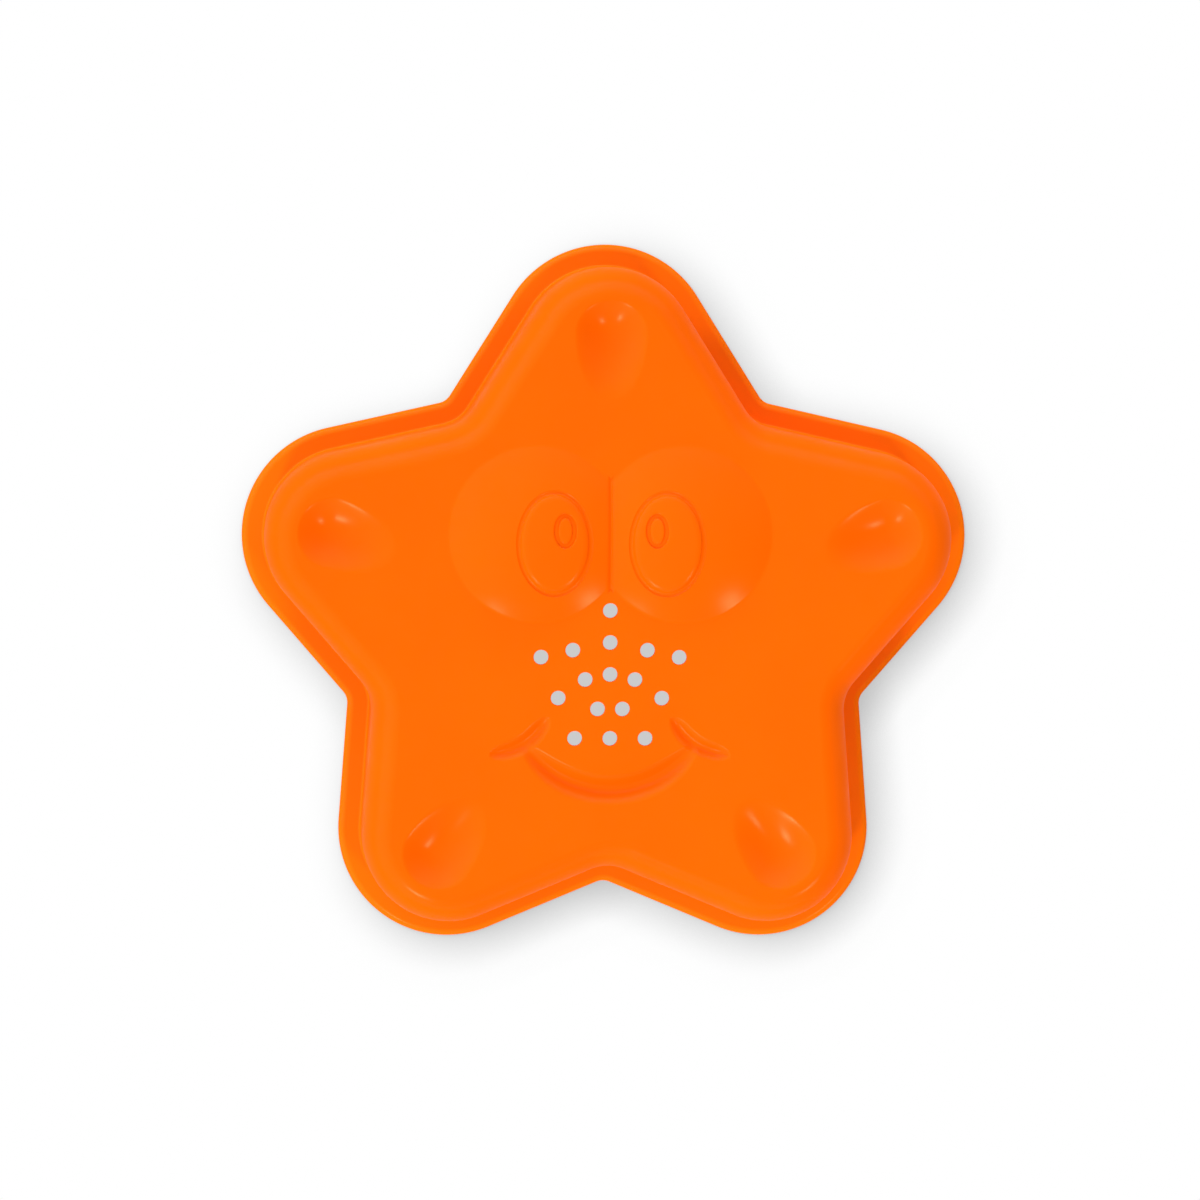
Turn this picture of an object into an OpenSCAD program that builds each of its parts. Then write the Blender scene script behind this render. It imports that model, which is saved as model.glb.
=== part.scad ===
// Sand mould in the shape of a smiling starfish.
// A thin shell of one even wall stands on its rim with the open mouth down and the face up.
// The star is ten circles, five round tips and five hollow valleys, joined by straight flanks.

/* [Star outline] */
// Distance from the star's centre to the centre of each round tip
tip_reach = 55.2; // [50:0.2:60]
// Radius of each round tip, at the rim's edge
tip_r = 22.5; // [20:0.5:25]
// Depth of each valley below the straight line across its two tips
valley_depth = 11.1; // [9:0.1:14]
// Radius of each valley between two arms, at the rim's edge
valley_r = 3.5; // [2:0.5:6]
// Spacing of the tips and valleys along Y, as a share of the spacing along X
length_share = 0.983; // [0.9:0.01:1.1]

/* [Shell] */
// Wall thickness all over
wall = 1.6; // [1.2:0.1:2.2]
// Height of the flat face panel's upper side
panel_h = 30; // [24:1:40]
// Lean of the side wall, so that the sand lets go, in degrees
draft = 1; // [0.5:0.5:4]
// Width of the rounded shoulder between the side wall and the face panel, seen from above
shoulder_w = 6; // [4:0.5:7]
// Height of the rounded shoulder
shoulder_h = 10; // [5:0.5:14]

/* [Rim] */
// Thickness of the rim
rim_t = 1.8; // [1.6:0.1:3]
// Width of the rim that stands out from the side wall
rim_w = 4.6; // [3.4:0.2:5.4]
// Rounding of the rim's upper edge
rim_round = 1.5; // [0.3:0.1:1.5]
// Radius of the hollow corner where the side wall meets the rim
foot_r = 0.6; // [0.4:0.1:1.2]

/* [Eyes] */
// Radius of each eye's round outline
eye_r = 17.9; // [15:0.1:19]
// Distance of each eye's centre from the middle of the face
eye_x = 14.8; // [12:0.1:17]
// Distance of the eyes' centres above the star's centre, along Y
eye_y = 17.8; // [15:0.1:20]
// Height of each domed eye above the face panel
eye_rise = 3.6; // [2:0.1:5]

/* [Pupils] */
// Half of a pupil's width
pupil_half_w = 7.2; // [5:0.1:8]
// Half of a pupil's length
pupil_half_l = 10.5; // [8:0.1:12]
// Distance of a pupil's centre from the middle of the face
pupil_x = 11.4; // [10:0.1:14]
// Distance of the pupils' centres above the star's centre, along Y
pupil_y = 16; // [14:0.1:18]
// Height of a pupil above the domed eye
pupil_rise = 0.5; // [0.3:0.1:1]

/* [Glints] */
// Half of a glint's width
glint_half_w = 1.5; // [1:0.1:2]
// Half of a glint's length
glint_half_l = 2.7; // [2:0.1:3.5]
// Width of the sunk ring round a glint
glint_ring = 0.7; // [0.4:0.1:1]
// Distance of a glint's centre from the middle of the face
glint_x = 9.3; // [8.5:0.1:11]
// Distance of the glints' centres above the star's centre, along Y
glint_y = 18.6; // [17:0.1:20]

/* [Sieve holes] */
// Diameter of a sieve hole
hole_d = 3; // [2:0.1:3.6]
// Distance from the middle of the face to the outermost hole
holes_half_w = 14; // [12:0.5:16]
// Distance along Y from the highest hole to the lowest row
holes_len = 25.9; // [24:0.1:27]
// Distance of the highest hole above the star's centre, along Y
holes_y = 2.4; // [1:0.1:3]

/* [Smile] */
// Radius of the smile's upper edge
smile_r = 20.8; // [19:0.1:22]
// Half of the angle that the smile spans, in degrees
smile_half_angle = 53; // [45:1:58]
// Width of the smile's groove at its middle
smile_w = 2.3; // [1.5:0.1:3]
// Distance of the smile's centre below the star's centre, along Y
smile_y = 13.5; // [12:0.1:15]
// Depth of the smile's groove
smile_depth = 0.9; // [0.5:0.1:1.1]

/* [Cheeks] */
// Radius of each cheek's crease
cheek_r = 11.9; // [10:0.1:13]
// Half of the angle that a crease spans, in degrees
cheek_half_angle = 33; // [25:1:40]
// Turn of the crease from straight down towards the smile, in degrees
cheek_turn = 33; // [25:1:40]
// Width of a crease at its middle
cheek_w = 1; // [0.6:0.1:1.4]
// Distance of a crease's centre from the middle of the face
cheek_x = 23.6; // [23:0.1:25]
// Distance of the creases' centres below the star's centre, along Y
cheek_y = 15.1; // [14:0.1:16]
// Depth of a crease
cheek_depth = 0.6; // [0.3:0.1:1]

/* [Finger dimples] */
// Width of the flat band between a dimple's outer end and the shoulder
dimple_margin = 1.8; // [1:0.1:4]
// Half of a dimple's width at the face panel
dimple_half_w = 6.6; // [5:0.1:7]
// Length of a dimple from its deepest place towards the arm's tip
dimple_out = 7.4; // [6:0.1:8]
// Length of a dimple from its deepest place towards the face
dimple_in = 10; // [8:0.1:12]
// Depth of a dimple
dimple_depth = 2.8; // [2:0.1:4]

/* [Hidden] */

$fn = 96;
// How far a cut runs past what it cuts
over = 1;
// Points round an oval outline
oval_points = 48;
// Straight steps that make a tip, a valley and the round corners of the profiles
tip_steps = 16;
valley_steps = 6;
rim_steps = 3;
foot_steps = 2;
shoulder_steps = 7;
orange = [0.99, 0.43, 0.02];

arms = 5;
turn = 360 / arms;
// Places of the right half's holes: across the face, and down from the highest hole
hole_shares = [
    [0, 0], [0, 0.25], [0.54, 0.31], [1, 0.365], [0, 0.5],
    [0.36, 0.54], [0.75, 0.685], [0.18, 0.77], [0, 1], [0.51, 1],
];

// The origin is under the middle of the part's box, so the star's centre lies a little off it
star_y = -tip_reach * length_share * (1 - cos(turn / 2)) / 2;

// Distance from the star's centre to the centre of each valley's circle
valley_reach = tip_reach * cos(turn / 2) + tip_r - valley_depth + valley_r;

function bearing(v) = atan2(v[1], v[0]);
function toward(a) = [cos(a), sin(a)];
function arm_place(reach, a) = [reach * cos(a), star_y + reach * length_share * sin(a)];
function tip_at(i) = arm_place(tip_reach, 90 + i * turn);
function valley_at(i) = arm_place(valley_reach, 90 + (i + 0.5) * turn);

// Angle of the outward normal of the flank from tip i to the valley on its left or right
function flank_lean(i, v) = acos((tip_r + valley_r) / norm(v - tip_at(i)));
function left_normal(i) = bearing(valley_at(i) - tip_at(i)) - flank_lean(i, valley_at(i));
function right_normal(i) = bearing(valley_at(i - 1) - tip_at(i)) + flank_lean(i, valley_at(i - 1));

// Where the outline, drawn in by an inset, leaves a tip's circle and joins a valley's circle
function on_tip(i, a, inset) = tip_at(i) + (tip_r - inset) * toward(a);
function on_valley(i, a, inset) = valley_at(i) - (valley_r + inset) * toward(a);
function positive(a) = a < 0 ? positive(a + 360) : a;

// The star's outline, drawn in from the rim's edge by an inset, turning left all the way
function outline(inset) = [
    for (i = [0 : arms - 1])
        let (
            start = right_normal(i),
            end = left_normal(i),
            next = right_normal(i + 1),
            tip_span = positive(end - start),
            valley_span = positive(end - next)
        )
        each [
            for (k = [0 : tip_steps]) on_tip(i, start + tip_span * k / tip_steps, inset),
            for (k = [0 : valley_steps]) on_valley(i, end - valley_span * k / valley_steps, inset),
        ]
];

// Points along a round corner of a profile, from one angle to another
function corner(centre, r, from, to, steps) = [
    for (k = [0 : steps]) centre + r * toward(from + (to - from) * k / steps)
];

// The wall's outer face stands on the rim's upper side and leans in
function wall_inset(z) = rim_w + (z - rim_t) * tan(draft);
wall_inner = rim_w + wall / cos(draft);
foot_z = rim_t + foot_r;
foot_inset = wall_inset(foot_z) - foot_r / cos(draft);
panel_under = panel_h - wall;

// The shoulder's profile is a quarter of an oval, which starts where it leans as the wall does
shoulder_z = panel_h - shoulder_h;
shoulder_start = atan(shoulder_h / shoulder_w * tan(draft));
wall_top = shoulder_z + shoulder_h * sin(shoulder_start);
panel_inset = wall_inset(wall_top) + shoulder_w * cos(shoulder_start);
function on_shoulder(a, depth) = [
    panel_inset - (shoulder_w - depth) * cos(a),
    shoulder_z + (shoulder_h - depth) * sin(a)
];
function shoulder_arc(from, to, depth) = [
    for (k = [0 : shoulder_steps]) on_shoulder(from + (to - from) * k / shoulder_steps, depth)
];

// Each eye is the cap of a ball whose centre lies far below the panel
ball_r = (eye_r * eye_r + eye_rise * eye_rise) / (2 * eye_rise);
ball_z = panel_h + eye_rise - ball_r;

// A dimple's hollow turns about a level line above the panel, which runs along the arm.
// Its deepest place lies a little beyond the centre of the arm's round tip.
hollow_r = (dimple_half_w * dimple_half_w + dimple_depth * dimple_depth) / (2 * dimple_depth);
hollow_z = panel_h - dimple_depth + hollow_r;
dimple_shift = tip_r - panel_inset - dimple_margin - dimple_out;
function end_r(run) = (run * run + dimple_depth * dimple_depth) / (2 * dimple_depth);

// A ring that follows the star and has a profile of [inset from the rim's edge, height] all round
module star_ring(profile) {
    loops = [for (p = profile) [for (q = outline(p[0])) [q[0], q[1], p[1]]]];
    rows = len(profile);
    n = len(loops[0]);
    polyhedron(
        points = [for (one = loops) each one],
        faces = [
            for (k = [0 : rows - 1], j = [0 : n - 1])
                let (
                    here = k * n,
                    there = ((k + 1) % rows) * n,
                    next = (j + 1) % n
                )
                each [
                    [here + j, there + j, there + next],
                    [here + j, there + next, here + next],
                ]
        ]
    );
}

// The flat-lying shape of a smile: outside a circle, and widest straight below its centre
module crescent(r, half_angle, w) {
    half_chord = r * sin(half_angle);
    sag = r * (1 - cos(half_angle)) + w;
    lower_r = (half_chord * half_chord + sag * sag) / (2 * sag);
    difference() {
        translate([0, lower_r - r - w])
            circle(lower_r);
        circle(r);
    }
}

module smile_outline() {
    translate([0, star_y - smile_y])
        crescent(smile_r, smile_half_angle, smile_w);
}

module cheek_outline(side) {
    translate([side * cheek_x, star_y - cheek_y])
        rotate([0, 0, -side * cheek_turn])
        crescent(cheek_r, cheek_half_angle, cheek_w);
}

module oval(half_w, half_l) {
    polygon([
        for (k = [0 : oval_points - 1])
            [half_w * cos(k * 360 / oval_points), half_l * sin(k * 360 / oval_points)]
    ]);
}

module eye_ball(side, r) {
    translate([side * eye_x, star_y + eye_y, ball_z])
        sphere(r);
}

// The part's half on one side of the middle of the face, above a height
module half_above(side, z) {
    deep = 2 * (tip_reach + tip_r);
    translate([side > 0 ? 0 : -deep, -deep, z])
        cube([deep, 2 * deep, deep]);
}

// A dimple's hollow on arm i, grown all over by a thickness
module hollow(i, grow) {
    translate([tip_at(i)[0], tip_at(i)[1], hollow_z])
        rotate([0, 0, bearing(tip_at(i) - [0, star_y])])
        translate([dimple_shift, 0, 0])
        rotate([0, 90, 0])
        rotate_extrude() {
            hollow_end(end_r(dimple_out), grow, 0);
            hollow_end(end_r(dimple_in), grow, 1);
        }
}

module hollow_end(r, grow, flip) {
    mirror([0, flip])
        intersection() {
            translate([hollow_r - r, 0])
                circle(r + grow);
            square(2 * r);
        }
}

module rim() {
    color(orange)
        star_ring([
            [0, 0],
            each corner([rim_round, rim_t - rim_round], rim_round, 180, 90, rim_steps),
            [wall_inner, rim_t],
            [wall_inner, 0],
        ]);
}

module side_wall() {
    color(orange)
        star_ring([
            each corner([foot_inset, foot_z], foot_r, -90, -draft, foot_steps),
            on_shoulder(shoulder_start, 0),
            on_shoulder(shoulder_start, wall),
            [wall_inner, rim_t],
        ]);
}

module shoulder() {
    color(orange)
        star_ring([
            each shoulder_arc(shoulder_start, 90, 0),
            each shoulder_arc(90, shoulder_start, wall),
        ]);
}

module face_panel() {
    color(orange)
        difference() {
            translate([0, 0, panel_under])
                linear_extrude(wall)
                polygon(outline(panel_inset));
            for (side = [-1, 1])
                eye_ball(side, ball_r - wall);
            for (i = [0 : arms - 1])
                hollow(i, 0);
            translate([0, 0, panel_under - over])
                linear_extrude(wall + 2 * over) {
                    smile_outline();
                    cheek_outline(-1);
                    cheek_outline(1);
                }
            for (s = hole_shares, side = s[0] > 0 ? [-1, 1] : [1])
                translate([
                    side * s[0] * holes_half_w,
                    star_y + holes_y - s[1] * holes_len,
                    panel_under - over
                ])
                    cylinder(d = hole_d, h = wall + 2 * over);
        }
}

module eye(side) {
    color(orange)
        intersection() {
            difference() {
                eye_ball(side, ball_r);
                eye_ball(side, ball_r - wall);
            }
            half_above(side, panel_h);
        }
}

module pupil(side) {
    color(orange)
        intersection() {
            difference() {
                eye_ball(side, ball_r + pupil_rise);
                eye_ball(side, ball_r);
            }
            difference() {
                on_face(side * pupil_x, pupil_y)
                    oval(pupil_half_w, pupil_half_l);
                on_face(side * glint_x, glint_y)
                    oval(glint_half_w + glint_ring, glint_half_l + glint_ring);
            }
        }
}

module glint(side) {
    color(orange)
        intersection() {
            difference() {
                eye_ball(side, ball_r + pupil_rise);
                eye_ball(side, ball_r);
            }
            on_face(side * glint_x, glint_y)
                oval(glint_half_w, glint_half_l);
        }
}

// Raises a flat shape straight up through the eyes, at a place on the face
module on_face(x, y) {
    translate([x, star_y + y, panel_h])
        linear_extrude(2 * eye_rise)
        children();
}

module smile() {
    color(orange)
        translate([0, 0, panel_under - smile_depth])
        linear_extrude(wall)
        difference() {
            smile_outline();
            cheek_outline(-1);
            cheek_outline(1);
        }
}

module cheek(side) {
    color(orange)
        translate([0, 0, panel_under - cheek_depth])
        linear_extrude(wall)
        cheek_outline(side);
}

module dimple(i) {
    deep = 2 * hollow_r;
    color(orange)
        intersection() {
            difference() {
                hollow(i, wall);
                hollow(i, 0);
            }
            translate([-2 * tip_reach, -2 * tip_reach, panel_under - deep])
                cube([4 * tip_reach, 4 * tip_reach, deep]);
        }
}

rim();
side_wall();
shoulder();
face_panel();
eye(-1);  // left_eye
eye(1);  // right_eye
pupil(-1);  // left_pupil
pupil(1);  // right_pupil
glint(-1);  // left_glint
glint(1);  // right_glint
smile();
cheek(-1);  // left_cheek
cheek(1);  // right_cheek
dimple(0);  // top_dimple
dimple(1);  // left_dimple
dimple(2);  // lower_left_dimple
dimple(3);  // lower_right_dimple
dimple(4);  // right_dimple
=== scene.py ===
# %% [markdown]
# A sand mould in the shape of a smiling starfish, made in Blender as a lesson.
# The real one is a thin shell of orange plastic that stands on its rim with the open mouth down.
# The measured solids of the mould come first. They say where everything lies, and the
# finer pieces of this lesson take their place, each one where its solid stands.
# %% The measured frame
from math import acos, atan, atan2, cos, exp, hypot, pi, radians, sin, sqrt, tan

import bmesh
import bpy
from mathutils import Matrix, Vector


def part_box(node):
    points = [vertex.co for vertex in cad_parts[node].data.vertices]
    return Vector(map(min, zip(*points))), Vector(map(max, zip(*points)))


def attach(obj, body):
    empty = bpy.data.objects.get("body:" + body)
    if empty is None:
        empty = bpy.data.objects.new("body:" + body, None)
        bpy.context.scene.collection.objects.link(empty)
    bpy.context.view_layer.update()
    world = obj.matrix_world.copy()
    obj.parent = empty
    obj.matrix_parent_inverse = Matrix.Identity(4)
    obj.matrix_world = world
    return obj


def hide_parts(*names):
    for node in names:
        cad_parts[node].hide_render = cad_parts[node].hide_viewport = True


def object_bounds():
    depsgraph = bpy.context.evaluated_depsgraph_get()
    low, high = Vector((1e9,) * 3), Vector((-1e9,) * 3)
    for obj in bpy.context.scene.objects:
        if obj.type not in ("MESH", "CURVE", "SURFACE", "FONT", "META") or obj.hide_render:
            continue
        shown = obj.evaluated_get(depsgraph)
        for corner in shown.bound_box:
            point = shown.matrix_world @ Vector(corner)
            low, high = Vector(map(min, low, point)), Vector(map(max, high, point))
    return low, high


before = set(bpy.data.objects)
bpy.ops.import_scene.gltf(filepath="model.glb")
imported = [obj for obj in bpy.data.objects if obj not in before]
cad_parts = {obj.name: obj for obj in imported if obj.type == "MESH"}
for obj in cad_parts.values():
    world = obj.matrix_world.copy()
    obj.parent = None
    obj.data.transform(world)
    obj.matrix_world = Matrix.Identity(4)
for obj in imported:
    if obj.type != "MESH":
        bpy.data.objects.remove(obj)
solid_low, solid_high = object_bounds()
print("The mould's solids:", len(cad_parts), "reach", [round(v, 4) for v in solid_high - solid_low])

# %% [markdown]
# The sizes are in metres. Names in small letters are measured on the solids or worked out, such
# as how high the face lies and how thick the wall is. Names in capitals are chosen, most of them
# in real millimetres. Three very small lengths say when two places count as the same.
# %% Sizes of the star
MM = 0.001
NEAR = MM / 100
MERGED = MM / 1000
HAIR = MM / 1e4
ARMS = 5
TURN = 2 * pi / ARMS
TIP_R = 22.5 * MM
VALLEY_R = 3.5 * MM
VALLEY_DEPTH = 11.1 * MM
RIM_W = 4.6 * MM
DRAFT = radians(1)
SHOULDER_W = 6 * MM
SHOULDER_H = 10 * MM
panel_low, panel_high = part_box("face_panel")
rim_low, rim_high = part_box("rim")
face_z = panel_high.z
under_z = panel_low.z
wall = face_z - under_z
rim_z = rim_high.z
tip_reach = ((rim_high.x - rim_low.x) / 2 - TIP_R) / cos(TURN / 4)
length_share = (rim_high.y - rim_low.y - 2 * TIP_R) / (tip_reach * (1 + cos(TURN / 2)))
star_y = rim_high.y - TIP_R - tip_reach * length_share
valley_reach = tip_reach * cos(TURN / 2) + TIP_R - VALLEY_DEPTH + VALLEY_R
print("Tips at", round(tip_reach, 5), "valleys at", round(valley_reach, 5), "middle at y", round(star_y, 5))

# %% [markdown]
# Every step of the modelling acts on what is selected, so each one starts with nothing selected.
# These few helpers put a new piece in edit mode, pick parts of it by their place, and name it.
# %% Helpers for selecting


def deselect():
    if bpy.context.object and bpy.context.object.mode == "EDIT":
        bpy.ops.object.mode_set(mode="OBJECT")
    bpy.ops.object.select_all(action="DESELECT")


def only(piece):
    deselect()
    piece.select_set(True)
    bpy.context.view_layer.objects.active = piece


def edit(piece):
    only(piece)
    bpy.ops.object.mode_set(mode="EDIT")
    bpy.ops.mesh.select_mode(type="VERT")
    bpy.ops.mesh.select_all(action="DESELECT")


def pick(parts, test):
    """Selects the vertices, edges or faces of the piece in edit mode that pass a test."""
    bpy.ops.mesh.select_mode(type=parts[:-1].upper())
    bpy.ops.mesh.select_all(action="DESELECT")
    mesh = bpy.context.object.data
    work = bmesh.from_edit_mesh(mesh)
    work.normal_update()
    for part in getattr(work, parts):
        if test(part):
            part.select_set(True)
    work.select_flush_mode()
    bmesh.update_edit_mesh(mesh)


def named(name):
    piece = bpy.context.object
    piece.name = name
    piece.data.name = name
    return piece


# %% [markdown]
# Plastic has a thickness, and a sheet in Blender has none. These helpers push a sheet out into a
# solid, merge what lies twice in one place, and apply a modifier as soon as it is set.
# %% Helpers for solids
SMOOTH_ANGLE = radians(35)


def push(way):
    bpy.ops.mesh.extrude_region_move(TRANSFORM_OT_translate={"value": way})


def make_solid(way):
    """Pushes the whole sheet in edit mode out into a closed solid whose faces point outwards."""
    bpy.ops.mesh.select_all(action="SELECT")
    push(way)
    bpy.ops.mesh.select_all(action="SELECT")
    bpy.ops.mesh.normals_make_consistent(inside=False)


def apply(piece, kind, **values):
    only(piece)
    modifier = piece.modifiers.new(kind.title(), kind)
    for key, value in values.items():
        setattr(modifier, key, value)
    bpy.ops.object.modifier_apply(modifier=modifier.name)


def face_up(piece):
    """Merges doubles on an open sheet and turns its faces up."""
    edit(piece)
    bpy.ops.mesh.select_all(action="SELECT")
    bpy.ops.mesh.remove_doubles(threshold=MERGED)
    bpy.ops.mesh.normals_make_consistent(inside=False)
    bpy.ops.object.mode_set(mode="OBJECT")
    if sum(face.normal.z * face.area for face in piece.data.polygons) < 0:
        piece.data.flip_normals()


def thicken(piece):
    """Makes a sheet as thick as the wall, straight down, so that a deep groove doesn't fold into itself."""
    edit(piece)
    make_solid((0, 0, -wall))
    bpy.ops.object.mode_set(mode="OBJECT")
    bpy.ops.object.shade_smooth_by_angle(angle=SMOOTH_ANGLE)


# %% [markdown]
# The star's outline is drawn as with a compass: a round tip, a straight flank, a hollow valley
# and the next flank, five times. One vertex is spun about each centre and pushed along each flank.
# Spinning gives true arcs with as many points as the eye needs, which a rounded polygon doesn't.
# %% The star's outline
TIP_STEPS = 44
VALLEY_STEPS = 12


def toward(angle):
    return Vector((cos(angle), sin(angle), 0))


def bearing(v):
    return atan2(v.y, v.x)


def star_place(reach, arm):
    """A place on the middle line of an arm, or of a valley where the arm ends in a half."""
    angle = TURN * (arm + ARMS / 4)
    return Vector((reach * cos(angle), star_y + reach * length_share * sin(angle), 0))


def flank_normal(arm, side):
    """Direction of the outward normal of an arm's flank: side 1 is its left flank, -1 its right."""
    way = star_place(valley_reach, arm + side / 2) - star_place(tip_reach, arm)
    return bearing(way) - side * acos((TIP_R + VALLEY_R) / way.length)


def spin_about(centre, angle, steps):
    bpy.ops.mesh.spin(steps=steps, angle=-angle, center=centre, axis=(0, 0, 1))


first = star_place(tip_reach, 0) + TIP_R * toward(flank_normal(0, -1))
deselect()
bpy.ops.mesh.primitive_plane_add(size=MM, location=first)
mould_shell = named("mould_shell")
bpy.ops.object.transform_apply(location=True, rotation=True, scale=True)
bpy.ops.object.mode_set(mode="EDIT")
bpy.ops.mesh.merge(type="CENTER")
for arm in range(ARMS):
    start, end, follow = flank_normal(arm, -1), flank_normal(arm, 1), flank_normal(arm + 1, -1)
    tip, valley = star_place(tip_reach, arm), star_place(valley_reach, arm + 0.5)
    spin_about(tip, (end - start) % (2 * pi), TIP_STEPS)
    push(valley - VALLEY_R * toward(end) - tip - TIP_R * toward(end))
    spin_about(valley, -((end - follow) % (2 * pi)), VALLEY_STEPS)
    push(star_place(tip_reach, arm + 1) + TIP_R * toward(follow) - valley + VALLEY_R * toward(follow))
bpy.ops.mesh.select_all(action="SELECT")
bpy.ops.mesh.remove_doubles(threshold=NEAR)
bpy.ops.mesh.edge_face_add()
bpy.ops.mesh.normals_make_consistent(inside=False)
bpy.ops.object.mode_set(mode="OBJECT")
print("Outline points:", len(mould_shell.data.vertices))

# %% [markdown]
# Seen in a cut, the shell is a profile of how far in and how high. The rim's edge and the foot of
# the wall are quarter circles, the wall stands almost upright, and the shoulder is a quarter of an
# oval. The wall leans by the draft that lets a moulding slip off its tool.
# %% The shell's profile
RIM_ROUND = 1.5 * MM
FOOT_R = 0.6 * MM
MOUTH_ROUND = 0.3 * MM
RIM_STEPS = 8
FOOT_STEPS = 5
MOUTH_STEPS = 3
SHOULDER_STEPS = 18
INNER_SHOULDER_STEPS = 12
shoulder_z = face_z - SHOULDER_H
shoulder_start = atan(SHOULDER_H / SHOULDER_W * tan(DRAFT))
wall_top = shoulder_z + SHOULDER_H * sin(shoulder_start)


def wall_inset(z):
    return RIM_W + (z - rim_z) * tan(DRAFT)


panel_inset = wall_inset(wall_top) + SHOULDER_W * cos(shoulder_start)
foot_inset = wall_inset(rim_z + FOOT_R) - FOOT_R / cos(DRAFT)


def arc(centre_in, centre_z, half_w, half_h, start, end, steps):
    """Points of a profile, (how far in, how high), along an oval. Angle 0 is outwards and 90 is up."""
    turns = [start + (end - start) * k / steps for k in range(steps + 1)]
    return [(centre_in - half_w * cos(a), centre_z + half_h * sin(a)) for a in turns]


def shoulder_arc(depth, steps):
    half_w, half_h = SHOULDER_W - depth, SHOULDER_H - depth
    return arc(panel_inset, shoulder_z, half_w, half_h, shoulder_start, pi / 2, steps)


rim_edge = arc(RIM_ROUND, rim_z - RIM_ROUND, RIM_ROUND, RIM_ROUND, 0, pi / 2, RIM_STEPS)
foot_arc = arc(foot_inset, rim_z + FOOT_R, -FOOT_R, FOOT_R, -pi / 2, -DRAFT, FOOT_STEPS)
mouth_in = RIM_W + wall - MOUTH_ROUND
mouth_edge = arc(mouth_in, MOUTH_ROUND, -MOUTH_ROUND, MOUTH_ROUND, -pi / 2, 0, MOUTH_STEPS)
print("Flat face drawn in by", round(panel_inset, 5), "shoulder from", round(wall_top, 5), "up")

# %% [markdown]
# The outline is drawn up along the profile as a potter draws a wall, one small inset after the
# other. The mouth is drawn up from below by the same steps, one wall's thickness further in, so
# that the shell is equally thick all over. Insets keep the star's arcs true on the way.
# %% The rim, the wall and the shoulder
NEARLY_FLAT = 0.9


def draw_in(profile, side):
    """Insets the selected face along a profile. Side 1 is up from above and -1 is up from below."""
    for (old_in, old_z), (new_in, new_z) in zip(profile, profile[1:]):
        bpy.ops.mesh.inset(thickness=new_in - old_in, depth=side * (new_z - old_z), use_even_offset=True)


def lies_at(face, z, side):
    """Whether a face lies flat at a height, with side 1 up or side -1 down."""
    return abs(face.calc_center_median().z - z) < NEAR and face.normal.z * side > NEARLY_FLAT


edit(mould_shell)
make_solid((0, 0, rim_z - RIM_ROUND))
pick("faces", lambda face: lies_at(face, rim_z - RIM_ROUND, 1))
draw_in(rim_edge + foot_arc + shoulder_arc(0, SHOULDER_STEPS), 1)
pick("faces", lambda face: lies_at(face, 0, -1))
draw_in([(0, 0)] + mouth_edge + shoulder_arc(wall, INNER_SHOULDER_STEPS), -1)
bpy.ops.object.mode_set(mode="OBJECT")
print("Shell:", len(mould_shell.data.polygons), "faces")

# %% [markdown]
# The face's features are sheets of the same plastic, each laid out from an oval ring that is
# extruded and resized from one shape to the next, as contour lines on a map. Each sheet starts
# with a narrow flat border, so that it meets the face without a step in the shine.
# %% Helpers for ringed sheets
RING_POINTS = 128
BORDER = 0.3 * MM


def ringed(name, rings, closed):
    """A sheet of rings from outside to inside, each [x, y, half width, half length, z]."""
    x, y, half_w, half_l, z = rings[0]
    deselect()
    bpy.ops.mesh.primitive_circle_add(vertices=RING_POINTS, radius=half_w, location=(x, y, z))
    piece = named(name)
    bpy.ops.object.transform_apply(location=True, rotation=True, scale=True)
    edit(piece)
    bpy.ops.mesh.select_all(action="SELECT")
    bpy.ops.transform.resize(value=(1, half_l / half_w, 1), center_override=(x, y, z))
    for old, new in zip(rings, rings[1:]):
        push((new[0] - old[0], new[1] - old[1], new[4] - old[4]))
        bpy.ops.transform.resize(value=(new[2] / old[2], new[3] / old[3], 1),
                                 center_override=(new[0], new[1], new[4]))
    if closed:
        bpy.ops.mesh.merge(type="CENTER")
    bpy.ops.object.mode_set(mode="OBJECT")
    return piece


def between(old, new, steps):
    """Rings that turn one ring evenly into another."""
    return [[a + (b - a) * k / steps for a, b in zip(old, new)] for k in range(1, steps + 1)]


def drape(piece, height):
    """Lifts each point of a sheet by the height of what lies below it."""
    for vertex in piece.data.vertices:
        vertex.co.z += height(vertex.co.x, vertex.co.y)


def mirrored(piece, name):
    """A copy of a finished piece for the left half, with its own mesh."""
    only(piece)
    bpy.ops.object.duplicate()
    twin = named(name)
    bpy.ops.object.mode_set(mode="EDIT")
    bpy.ops.mesh.select_all(action="SELECT")
    bpy.ops.transform.resize(value=(-1, 1, 1), center_override=(0, 0, 0))
    bpy.ops.mesh.flip_normals()
    bpy.ops.object.mode_set(mode="OBJECT")
    return twin


# %% [markdown]
# The shell needs an opening where each sheet lies in it. An opening is cut by a prism that stands
# on the sheet's own border and reaches through the panel, so that sheet and shell fit exactly.
# %% Helpers for cutters
CUT_ABOVE = MM
CUT_BELOW = MM


def outer_border(piece):
    return [(v.co.x, v.co.y) for v in piece.data.vertices[:RING_POINTS]]


def prism(border, below=CUT_BELOW):
    """A cutter through the panel whose plan is a closed border of (x, y) points."""
    low = under_z - below
    deselect()
    bpy.ops.mesh.primitive_circle_add(vertices=len(border), fill_type="NGON")
    cutter = named("cut")
    for vertex, (x, y) in zip(cutter.data.vertices, border):
        vertex.co = (x, y, low)
    edit(cutter)
    make_solid((0, 0, face_z + CUT_ABOVE - low))
    bpy.ops.object.mode_set(mode="OBJECT")
    return cutter


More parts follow.
